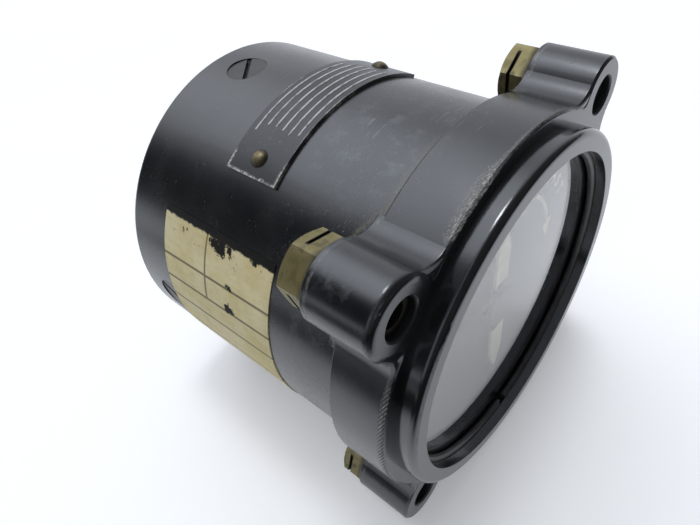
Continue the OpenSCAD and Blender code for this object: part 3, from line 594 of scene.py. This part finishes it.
def label_paper():
    """Aged yellow-cream paper with brown rules, black top and front edges, and run ink."""
    t = Finish("label_paper", (0.72, 0.64, 0.36))
    _, clock = t.around()
    grain, mottle = t.grain(0.3, 4.5)
    fibres = t.noise(t.turned(t.point, (0.0, 0.0, 0.4), (3.0, 0.5, 1.2)), 1.0, 4.0, 0.6)
    upper = t.ramp(clock, -66.0, -56.0)
    front_side = t.ramp(t.y, 25.5, 21.0)

    torn = t.minus(t.noise(t.point, 0.9, detail=4.0, rough=0.7), 0.5)
    edge = t.most(t.ramp(t.plus(clock, t.times(torn, 2.4)),
                         LABEL_TOP_CLOCK - 0.6, LABEL_TOP_CLOCK),
                  t.ramp(t.plus(t.y, t.times(torn, 1.2)), LABEL_FRONT_Y + 0.4, LABEL_FRONT_Y))
    flecks = t.times(t.ramp(t.noise(t.point, 0.8, detail=5.0, rough=0.72), 0.62, 0.67),
                     t.most(upper, t.times(front_side, 0.6)))
    ink = t.most(edge, flecks)
    for blot_clock, blot_y, size in INK_BLOTS:
        across = t.times(t.minus(clock, blot_clock), CASE_R * math.pi / 180)
        away = t.plus(t.edge(across, blot_y), t.times(torn, 3.6))
        ink = t.most(ink, t.ramp(away, size, size - 0.35))

    paper = t.mix(t.ramp(mottle, 0.3, 0.7), (0.78, 0.67, 0.34), (0.88, 0.80, 0.51))
    color = t.coated(paper, (t.times(t.ramp(fibres, 0.45, 0.75), 0.30), (0.56, 0.43, 0.17)),
                     (t.times(label_rules(t, clock), 0.82), (0.12, 0.09, 0.05)),
                     (t.times(t.most(upper, front_side), 0.22), (0.42, 0.31, 0.12)),
                     (ink, (0.009, 0.0085, 0.0075)))
    t.set_shader(Base_Color=color, IOR=1.32,
                 Roughness=t.linear(fibres, 0.2, t.blend(edge, 0.55, 0.30)),
                 Normal=t.bump(t.plus(fibres, t.times(grain, 0.5)), 0.5, 0.03))
    return t.made


def clear_glass():
    t = Finish("clear_glass", (0.8, 0.85, 0.9))
    smears = t.noise(t.point, 0.25, detail=3.0, rough=0.6)
    scratches = t.scratches(amount=0.25, density=1.6)
    t.set_shader(Base_Color=(0.97, 0.985, 0.99), Transmission_Weight=1.0, IOR=1.85,
                 Roughness=t.plus(t.times(smears, 0.03), t.times(scratches, 0.12)))
    return t.made


def enamel(name, color, dark, rough, size, chips):
    """Paint or oxide on metal, mottled, with a share of pale chips."""
    t = Finish(name, color)
    grain, mottle = t.grain(size, size * 18)
    tone = t.mix(t.ramp(mottle, 0.3, 0.7), dark, color)
    if chips:
        flecks = t.ramp(t.noise(t.point, 2.2, detail=4.0, rough=0.7), 0.66, 0.70)
        tone = t.mix(t.times(flecks, chips), tone, (0.42, 0.38, 0.30))
    t.set_shader(Base_Color=t.mix(t.dust(0.12), tone, (0.3, 0.29, 0.27)),
                 Roughness=t.linear(grain, 0.16, rough - 0.08), Normal=t.bump(grain, 0.5, 0.03))
    return t.made


def cream_paint(name, size, mottle_size, dark, pale, rough, strength, black_within=None):
    """Aged cream paint, black nearer to the axis than a radius where one is given."""
    t = Finish(name, (0.70, 0.66, 0.48))
    grain, mottle = t.grain(size, mottle_size)
    color = t.mix(t.ramp(mottle, 0.3, 0.7), dark, pale)
    if black_within:
        radius, _ = t.around()
        outside = t.ramp(radius, black_within, black_within + 0.15)
        color = t.mix(outside, (0.02, 0.02, 0.02), color)
    t.set_shader(Base_Color=color, Roughness=t.linear(grain, 0.2, rough),
                 Normal=t.bump(grain, strength, 0.03))
    return t.made


def turned_metal(name, color, rough, lines, depth):
    """Machined metal: fine rings left by the tool across the axis."""
    t = Finish(name, color)
    radius, _ = t.around()
    _, mottle = t.grain(0.15, 3.0)
    rings = t.add("ShaderNodeTexNoise", noise_dimensions="1D")
    t.fill(rings, {"W": t.plus(radius, t.y), "Scale": lines, "Detail": 3.0})
    rings = rings.outputs["Fac"]
    dull = tuple(part * 0.72 for part in color)
    t.set_shader(Base_Color=t.mix(t.ramp(mottle, 0.3, 0.7), dull, color), Metallic=1.0,
                 Roughness=t.linear(rings, 0.2, rough - 0.1),
                 Normal=t.bump(t.times(rings, depth), 1.0, 0.02))
    return t.made


def core_steel():
    """The cut edges of thin steel laminations, half a millimetre each, with some rust."""
    t = Finish("core_steel", (0.24, 0.24, 0.25))
    wave = t.wave(t.y, 0.5)
    grain, mottle = t.grain(0.2, 2.5)
    color = t.coated(t.mix(t.ramp(wave, -0.6, 0.6), (0.14, 0.13, 0.13), (0.30, 0.30, 0.31)),
                     (t.ramp(mottle, 0.55, 0.75), (0.20, 0.12, 0.07)))
    t.set_shader(Base_Color=color, Metallic=0.9, Roughness=t.linear(grain, 0.2, 0.4),
                 Normal=t.bump(wave, 0.7, 0.04))
    return t.made


def varnished_copper():
    """Layers of fine varnished wire wound round the axis."""
    t = Finish("varnished_copper", (0.42, 0.17, 0.06))
    radius, clock = t.around()
    waver = t.times(t.math("SINE", t.times(clock, 0.2)), 0.15)
    strands = t.wave(t.plus(radius, t.times(t.y, 0.6), waver), 0.32)
    grain, mottle = t.grain(0.3, 2.0)
    # Painted shade: the colour is darker between the turns of wire and paler on their tops.
    color = t.coated(t.mix(t.ramp(strands, -0.8, 0.5), (0.14, 0.045, 0.016), (0.50, 0.20, 0.07)),
                     (t.times(t.ramp(mottle, 0.5, 0.7), 0.5), (0.22, 0.10, 0.04)))
    t.set_shader(Base_Color=color, Metallic=0.5, Roughness=t.linear(grain, 0.2, 0.25),
                 Coat_Weight=0.5, Normal=t.bump(strands, 0.8, 0.06))
    return t.made


def connector_finish():
    """Satin plated shell, with the thread of the coupling ring round its barrel."""
    t = Finish("connector_shell", (0.55, 0.56, 0.55))
    radius, clock = t.around()
    grain, mottle = t.grain(0.2, 3.0)
    helix = t.plus(t.math("DIVIDE", t.y, THREAD_PITCH), t.math("DIVIDE", clock, 360.0))
    threaded = t.times(t.ramp(radius, BARREL_R - 0.25, BARREL_R - 0.1),
                       t.near(t.y, BARREL_MIDDLE_Y, 3.6, 0.3))
    ridge = t.times(t.math("PINGPONG", helix, 0.5), threaded, 2.0)
    # Painted shade: the thread is only a bump, and the valleys between its ridges are coloured
    # dark.
    thread_groove_shade = t.times(threaded, t.ramp(ridge, 0.45, 0.05))
    color = t.coated(t.mix(t.ramp(mottle, 0.3, 0.7), (0.40, 0.40, 0.37), (0.58, 0.58, 0.55)),
                     (thread_groove_shade, (0.10, 0.095, 0.085)))
    scratches = t.scratches(amount=0.5, density=1.4)
    fine = t.bump(t.minus(t.times(grain, 0.4), scratches), 0.6, 0.02)
    t.set_shader(Base_Color=color, Metallic=0.9,
                 Roughness=t.plus(t.linear(grain, 0.2, 0.28), t.times(scratches, 0.15)),
                 Normal=t.bump(ridge, 1.0, 0.5, fine))
    return t.made


def insulator(name, color, dark, rough):
    """Pressed resin with a faint weave of cloth in it."""
    t = Finish(name, color)
    grain, mottle = t.grain(0.4, 2.0)
    cloth = t.noise(t.scaled(t.point, (4.0, 0.8, 4.0)), 1.0, detail=3.0, rough=0.6)
    t.set_shader(Base_Color=t.mix(t.ramp(cloth, 0.35, 0.65), dark, color),
                 Roughness=t.linear(mottle, 0.2, rough - 0.1),
                 Normal=t.bump(t.plus(cloth, grain), 0.4, 0.03))
    return t.made


def rubber_seal():
    t = Finish("rubber_seal", (0.02, 0.02, 0.02))
    grain, mottle = t.grain(0.18, 2.5)
    color = t.mix(t.ramp(mottle, 0.35, 0.75), (0.014, 0.014, 0.014), (0.040, 0.039, 0.037))
    t.set_shader(Base_Color=color, Roughness=t.linear(grain, 0.2, 0.65),
                 Normal=t.bump(grain, 0.8, 0.05))
    return t.made


def faded_white():
    """Thin pale lettering paint, rubbed away in places."""
    t = Finish("faded_white", (0.6, 0.6, 0.58))
    patch = t.ramp(t.noise(t.point, 0.9, detail=4.0, rough=0.7), 0.30, 0.55)
    t.set_shader(Base_Color=t.mix(patch, (0.10, 0.10, 0.10), (0.52, 0.53, 0.54)),
                 Roughness=t.linear(patch, 0.2, 0.45), Normal=t.bump(patch, 0.3, 0.02))
    return t.made


# Colour, darker colour, roughness, size of the grain and share of pale chips
ENAMELS = {
    "black_spring_steel": ((0.045, 0.045, 0.047), (0.025, 0.025, 0.026), 0.32, 0.15, 0.4),
    "dial_black": ((0.030, 0.030, 0.032), (0.020, 0.020, 0.021), 0.7, 0.2, 0.0),
    "black_steel": ((0.030, 0.030, 0.032), (0.018, 0.018, 0.018), 0.38, 0.2, 0.5),
}
# Colour, roughness, rings in a millimetre and their depth
TURNED_METALS = {
    "plate_aluminium": ((0.60, 0.61, 0.62), 0.38, 5.0, 0.35),
    "bright_steel": ((0.55, 0.55, 0.56), 0.32, 7.0, 0.35),
    "spacer_brass": ((0.60, 0.48, 0.25), 0.34, 6.0, 0.35),
    "bearing_steel": ((0.66, 0.67, 0.69), 0.20, 9.0, 0.15),
    "slip_ring_alloy": ((0.68, 0.58, 0.36), 0.24, 12.0, 0.2),
    "spring_bronze": ((0.66, 0.46, 0.22), 0.28, 8.0, 0.2),
}
# Colour, darker colour and roughness
INSULATORS = {
    "brown_insulator": ((0.12, 0.048, 0.022), (0.06, 0.022, 0.010), 0.45),
    "black_insulator": ((0.028, 0.028, 0.029), (0.016, 0.016, 0.016), 0.6),
}
LOOKS = {
    "moulded_case": moulded_case(),
    "brass_fixing": nut_brass(),
    "clear_glass": clear_glass(),
    "rubber_seal": rubber_seal(),
    "plate_black": data_plate_black(),
    "label_paper": label_paper(),
    "core_steel": core_steel(),
    "varnished_copper": varnished_copper(),
    "cream_paint": cream_paint("pointer_cream", 0.12, 1.6, (0.68, 0.62, 0.40),
                               (0.86, 0.80, 0.56), 0.55, 0.6, POINTER_NECK_R),
}
for make, finishes in ((enamel, ENAMELS), (turned_metal, TURNED_METALS), (insulator, INSULATORS)):
    LOOKS.update({name: make(name, *values) for name, values in finishes.items()})


def paint(node, made):
    """Gives a node of the CAD frame its material."""
    part = NODES[node]
    if not part.data.materials:
        part.data.materials.append(made)
    for slot in part.material_slots:
        slot.material = made


for part in frame["record"]["subparts"]:
    paint(part["node"], LOOKS[part["material_slot"]])
paint("plate_rivets", rivet_brass())
paint("connector_shell", connector_finish())


def finish_piece(name, mesh, made, body="instrument"):
    """A new piece from a finished mesh, riding on a body."""
    piece = new_object(name, mesh)
    mesh.materials.clear()
    mesh.materials.append(made)
    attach(piece, body)
    return piece


def plain_mesh(holder):
    """What an object comes to in the end, as a plain mesh. The object itself is removed."""
    graph = bpy.context.evaluated_depsgraph_get()
    mesh = bpy.data.meshes.new_from_object(holder.evaluated_get(graph), depsgraph=graph)
    bpy.data.objects.remove(holder)
    return mesh


def built_mesh(name, bm):
    mesh = bpy.data.meshes.new(name)
    bm.to_mesh(mesh)
    bm.free()
    return mesh


# Sizes of the plain rules that stand for the data plate's print, in metres and radians
PLATE_RULES = [
    ("Rows", WHOLE, 6), ("First Row", NUMBER, 0.0281), ("Row Pitch", NUMBER, 0.00148),
    ("Radius", NUMBER, (PLATE_R + 0.01) * MM), ("Half Arc", NUMBER, 0.34),
    ("Shift", NUMBER, 0.04), ("Line Width", NUMBER, 0.00034), ("Thickness", NUMBER, 0.00004),
    ("Seed", WHOLE, 3)]
ARC_POINTS = 48


def plate_rules_tree():
    """Thin painted rules that follow the round of the data plate, row beside row along the tube."""
    made, t = new_group("GeometryNodeTree", "plate_rules",
                        PLATE_RULES + [("Paint", PAINT, None)], [("Geometry", GEOMETRY)])
    given = t.given

    def step(kind, values, **settings):
        node = t.add(kind, **settings)
        t.fill(node, values)
        return node.outputs

    quarter = math.pi / 2
    rows = step("GeometryNodeMeshLine", {
        "Count": given["Rows"], "Start Location": t.vector(0.0, given["First Row"], 0.0),
        "Offset": t.vector(0.0, given["Row Pitch"], 0.0)}, mode="OFFSET")
    arc = step("GeometryNodeCurveArc", {
        "Resolution": ARC_POINTS, "Radius": given["Radius"],
        "Start Angle": t.minus(quarter, given["Half Arc"]),
        "Sweep Angle": t.times(given["Half Arc"], 2.0)}, mode="RADIUS")
    stood_up = step("GeometryNodeTransform", {"Geometry": arc[0], "Rotation": (quarter, 0, 0)})
    profile = step("GeometryNodeCurvePrimitiveQuadrilateral",
                   {"Width": given["Line Width"], "Height": given["Thickness"]})
    bar = step("GeometryNodeCurveToMesh",
               {"Curve": stood_up[0], "Profile Curve": profile[0], "Fill Caps": True})
    lean = step("FunctionNodeRandomValue", {
        2: t.times(given["Shift"], -1.0), 3: given["Shift"], "Seed": given["Seed"]},
        data_type="FLOAT")
    placed = step("GeometryNodeInstanceOnPoints", {
        "Points": rows[0], "Instance": bar[0], "Rotation": t.vector(0.0, lean[1], 0.0)})
    real = step("GeometryNodeRealizeInstances", {0: placed[0]})
    painted = step("GeometryNodeSetMaterial", {"Geometry": real[0], "Material": given["Paint"]})
    t.put(t.result["Geometry"], painted[0])
    return made


def data_plate_rules(white):
    """Runs the geometry tree once and keeps its result as a plain mesh."""
    tree = plate_rules_tree()
    holder = new_object("rules_holder", bpy.data.meshes.new("rules_holder"))
    modifier = holder.modifiers.new("tree", "NODES")
    modifier.node_group = tree
    sockets = {item.name: item.identifier for item in tree.interface.items_tree
               if item.item_type == "SOCKET" and item.in_out == "INPUT"}
    for label, _, value in PLATE_RULES + [("Paint", PAINT, white)]:
        modifier[sockets[label]] = value
    mesh = plain_mesh(holder)
    mesh.name = "data_plate_rules"
    return finish_piece("data_plate_rules", mesh, white)


# The marks on the dial, in millimetres and clock angles
ARROW_R = 17.2
ARROW_STROKE = 0.7
ARROW_CLOCKS = (43, 78, 90.3)
ARROW_HEAD = 1.35
MARK_THICKNESS = 0.03
WORDS = (("SLOW", -57.0), ("FAST", 57.0))
LETTER_SIZE = 3.0
LETTER_R = 20.6
LETTER_STEP = 7.2


def flat_mark(bm, outline, front):
    """A thin painted mark on the dial: an outline of (x, z) points, given a small thickness."""
    near_side, far_side = [[bm.verts.new((x * MM, y * MM, z * MM)) for x, z in outline]
                           for y in (front, front + MARK_THICKNESS)]
    bm.faces.new(near_side)
    bm.faces.new(list(reversed(far_side)))
    for k in range(len(outline)):
        n = (k + 1) % len(outline)
        bm.faces.new((near_side[n], near_side[k], far_side[k], far_side[n]))


def clock_point(angle, radius):
    a = math.radians(angle)
    return radius * math.sin(a), radius * math.cos(a)


def dial_arrows(cream):
    """Two curved arrows, one for each way the pointer can turn."""
    tail, neck, tip = ARROW_CLOCKS
    steps = 24
    front = DIAL_Y - MARK_THICKNESS
    bm = bmesh.new()
    for side in (1, -1):
        angles = [tail + (neck - tail) * k / steps for k in range(steps + 1)]
        outer = [clock_point(side * a, ARROW_R + ARROW_STROKE / 2) for a in angles]
        inner = [clock_point(side * a, ARROW_R - ARROW_STROKE / 2) for a in reversed(angles)]
        flat_mark(bm, outer + inner, front)
        head = [clock_point(side * neck, ARROW_R + ARROW_HEAD),
                clock_point(side * tip, ARROW_R - 0.2),
                clock_point(side * neck, ARROW_R - ARROW_HEAD)]
        flat_mark(bm, head, front - 0.001)
    bmesh.ops.recalc_face_normals(bm, faces=bm.faces)
    return finish_piece("dial_arrows", built_mesh("dial_arrows", bm), cream)


def dial_words(cream):
    """The plain words for the two ways of turning, set round the dial letter by letter."""
    bm = bmesh.new()
    stand = Matrix.Rotation(math.pi / 2, 4, "X")
    up = Matrix.Translation((0, (DIAL_Y - 0.02) * MM, LETTER_R * MM))
    for word, middle in WORDS:
        for k, letter in enumerate(word):
            text = bpy.data.curves.new("letter", "FONT")
            text.body = letter
            text.size = LETTER_SIZE * MM
            text.extrude = MARK_THICKNESS / 2 * MM
            text.align_x = "CENTER"
            text.resolution_u = 3
            mesh = plain_mesh(new_object("letter", text))
            clock = math.radians(middle + (k - (len(word) - 1) / 2) * LETTER_STEP)
            mesh.transform(Matrix.Rotation(clock, 4, "Y") @ up @ stand)
            bm.from_mesh(mesh)
    bmesh.ops.remove_doubles(bm, verts=bm.verts, dist=1e-7)
    bmesh.ops.recalc_face_normals(bm, faces=bm.faces)
    return finish_piece("dial_words", built_mesh("dial_words", bm), cream)


data_plate_rules(faded_white())
dial_paint = cream_paint("dial_cream", 0.15, 1.8, (0.66, 0.60, 0.39), (0.84, 0.78, 0.55), 0.6, 0.5)
dial_arrows(dial_paint)
dial_words(dial_paint)

# Half the width of the table, and the air between it and the object, in metres
TABLE_HALF = 2.5
TABLE_GAP = 0.00005


def floor_material():
    """White table. It shows near white to the camera, and in gloss and glass, and keeps the
    shadow. Gloss sees it dark at the left and in front, as the photograph's reflections show: this
    is painted shade, which only glossy rays see."""
    t = Finish("white_table", (0.9, 0.9, 0.9))
    path = t.add("ShaderNodeLightPath").outputs
    front_left = t.times(t.ramp(t.x, -30.0, -75.0), t.ramp(t.y, -5.0, -45.0))
    left = t.times(t.near(t.x, -160.0, 42.0, 38.0), t.ramp(t.y, 220.0, 120.0))
    far_left = t.times(t.ramp(t.x, -230.0, -300.0), t.ramp(t.y, 165.0, 148.0))
    far_front = t.ramp(t.y, -90.0, -160.0)
    # Painted shade that only glossy rays see: in these places the table turns near black in
    # reflections.
    dim = t.times(t.most(front_left, left, far_left, far_front), path["Is Glossy Ray"])
    lit = t.minus(path["Is Glossy Ray"], dim)
    seen = t.most(path["Is Camera Ray"], lit, path["Is Transmission Ray"])
    white = t.mix(t.noise(t.point, 0.02, detail=3.0, rough=0.5),
                  (0.84, 0.85, 0.87), (0.88, 0.885, 0.89))
    t.set_shader(Base_Color=t.mix(dim, white, (0.02, 0.02, 0.02)), Roughness=0.9,
                 Specular_IOR_Level=0.1, Emission_Color=(0.95, 0.97, 1.0),
                 Emission_Strength=t.times(seen, 0.30))
    return t.made


def make_floor():
    """The table touches the flange's lowest point and the tube's rear rim, so it leans a little."""
    low_front = Vector((0, FLANGE_T, -FLANGE_R)) * MM
    low_rear = Vector((0, CASE_END - 0.8, -CASE_R)) * MM
    slope = (low_rear - low_front).normalized()
    bm = bmesh.new()
    corners = []
    for across, along in ((-1, -1), (1, -1), (1, 1), (-1, 1)):
        place = low_front + Vector((across * TABLE_HALF, 0, 0)) + slope * (along * TABLE_HALF)
        corners.append(bm.verts.new(place + Vector((0, 0, -TABLE_GAP))))
    bm.faces.new(corners)
    mesh = built_mesh("table", bm)
    mesh.materials.append(floor_material())
    floor = new_object("table", mesh)


def make_ceiling_lamp():
    """One soft square lamp, above and a little behind the object."""
    size, distance, radiance = 0.30, 1.3, 13.0
    data = bpy.data.lights.new("ceiling_lamp", "AREA")
    data.shape = "SQUARE"
    data.size = size
    data.color = (0.97, 0.985, 1.0)
    data.energy = radiance * math.pi * size * size
    lamp = new_object("ceiling_lamp", data)
    toward = Vector((0.14, 0.10, 0.985)).normalized()
    lamp.location = toward * distance + Vector((0, 0.02, 0))
    lamp.rotation_euler = toward.to_track_quat("Z", "Y").to_euler()


def make_world():
    """A pale room, brightest above the object. It is dark in two places at the left, and in front,
    but not in front to light that has come through the glass."""
    scene = bpy.context.scene
    world = bpy.data.worlds.new("world")
    scene.world = world
    world.use_nodes = True
    t = Tree(world.node_tree)
    background = world.node_tree.nodes["Background"]
    direction = t.add("ShaderNodeTexCoord").outputs["Generated"]
    path = t.add("ShaderNodeLightPath").outputs

    def toward(place, low, high):
        dot = t.add("ShaderNodeVectorMath", operation="DOT_PRODUCT")
        t.fill(dot, {0: direction, 1: Vector(place).normalized()})
        return t.ramp(dot.outputs["Value"], low, high)

    above = toward((0.10, 0.48, 0.87), 0.78, 1.0)
    behind = toward((0.0, 1.0, 0.0), -0.45, 0.05)
    dark_side = toward((-0.76, 0.61, 0.21), 0.77, 0.90)
    dim_corner = toward((-0.62, 0.25, 0.75), 0.91, 0.965)
    lit = t.most(t.blend(behind, 0.10, 1.0), path["Is Transmission Ray"])
    level = t.times(t.linear(above, 1.20, 0.88), lit, t.blend(dark_side, 1.0, 0.03),
                    t.blend(dim_corner, 1.0, 0.25))
    seen = path["Is Camera Ray"]
    t.fill(background, {"Color": t.mix(seen, (0.94, 0.97, 1.04), (0.93, 0.95, 0.97)),
                        "Strength": t.blend(seen, level, 1.0)})
    scene.view_settings.view_transform = "Standard"


make_floor()
make_ceiling_lamp()
make_world()
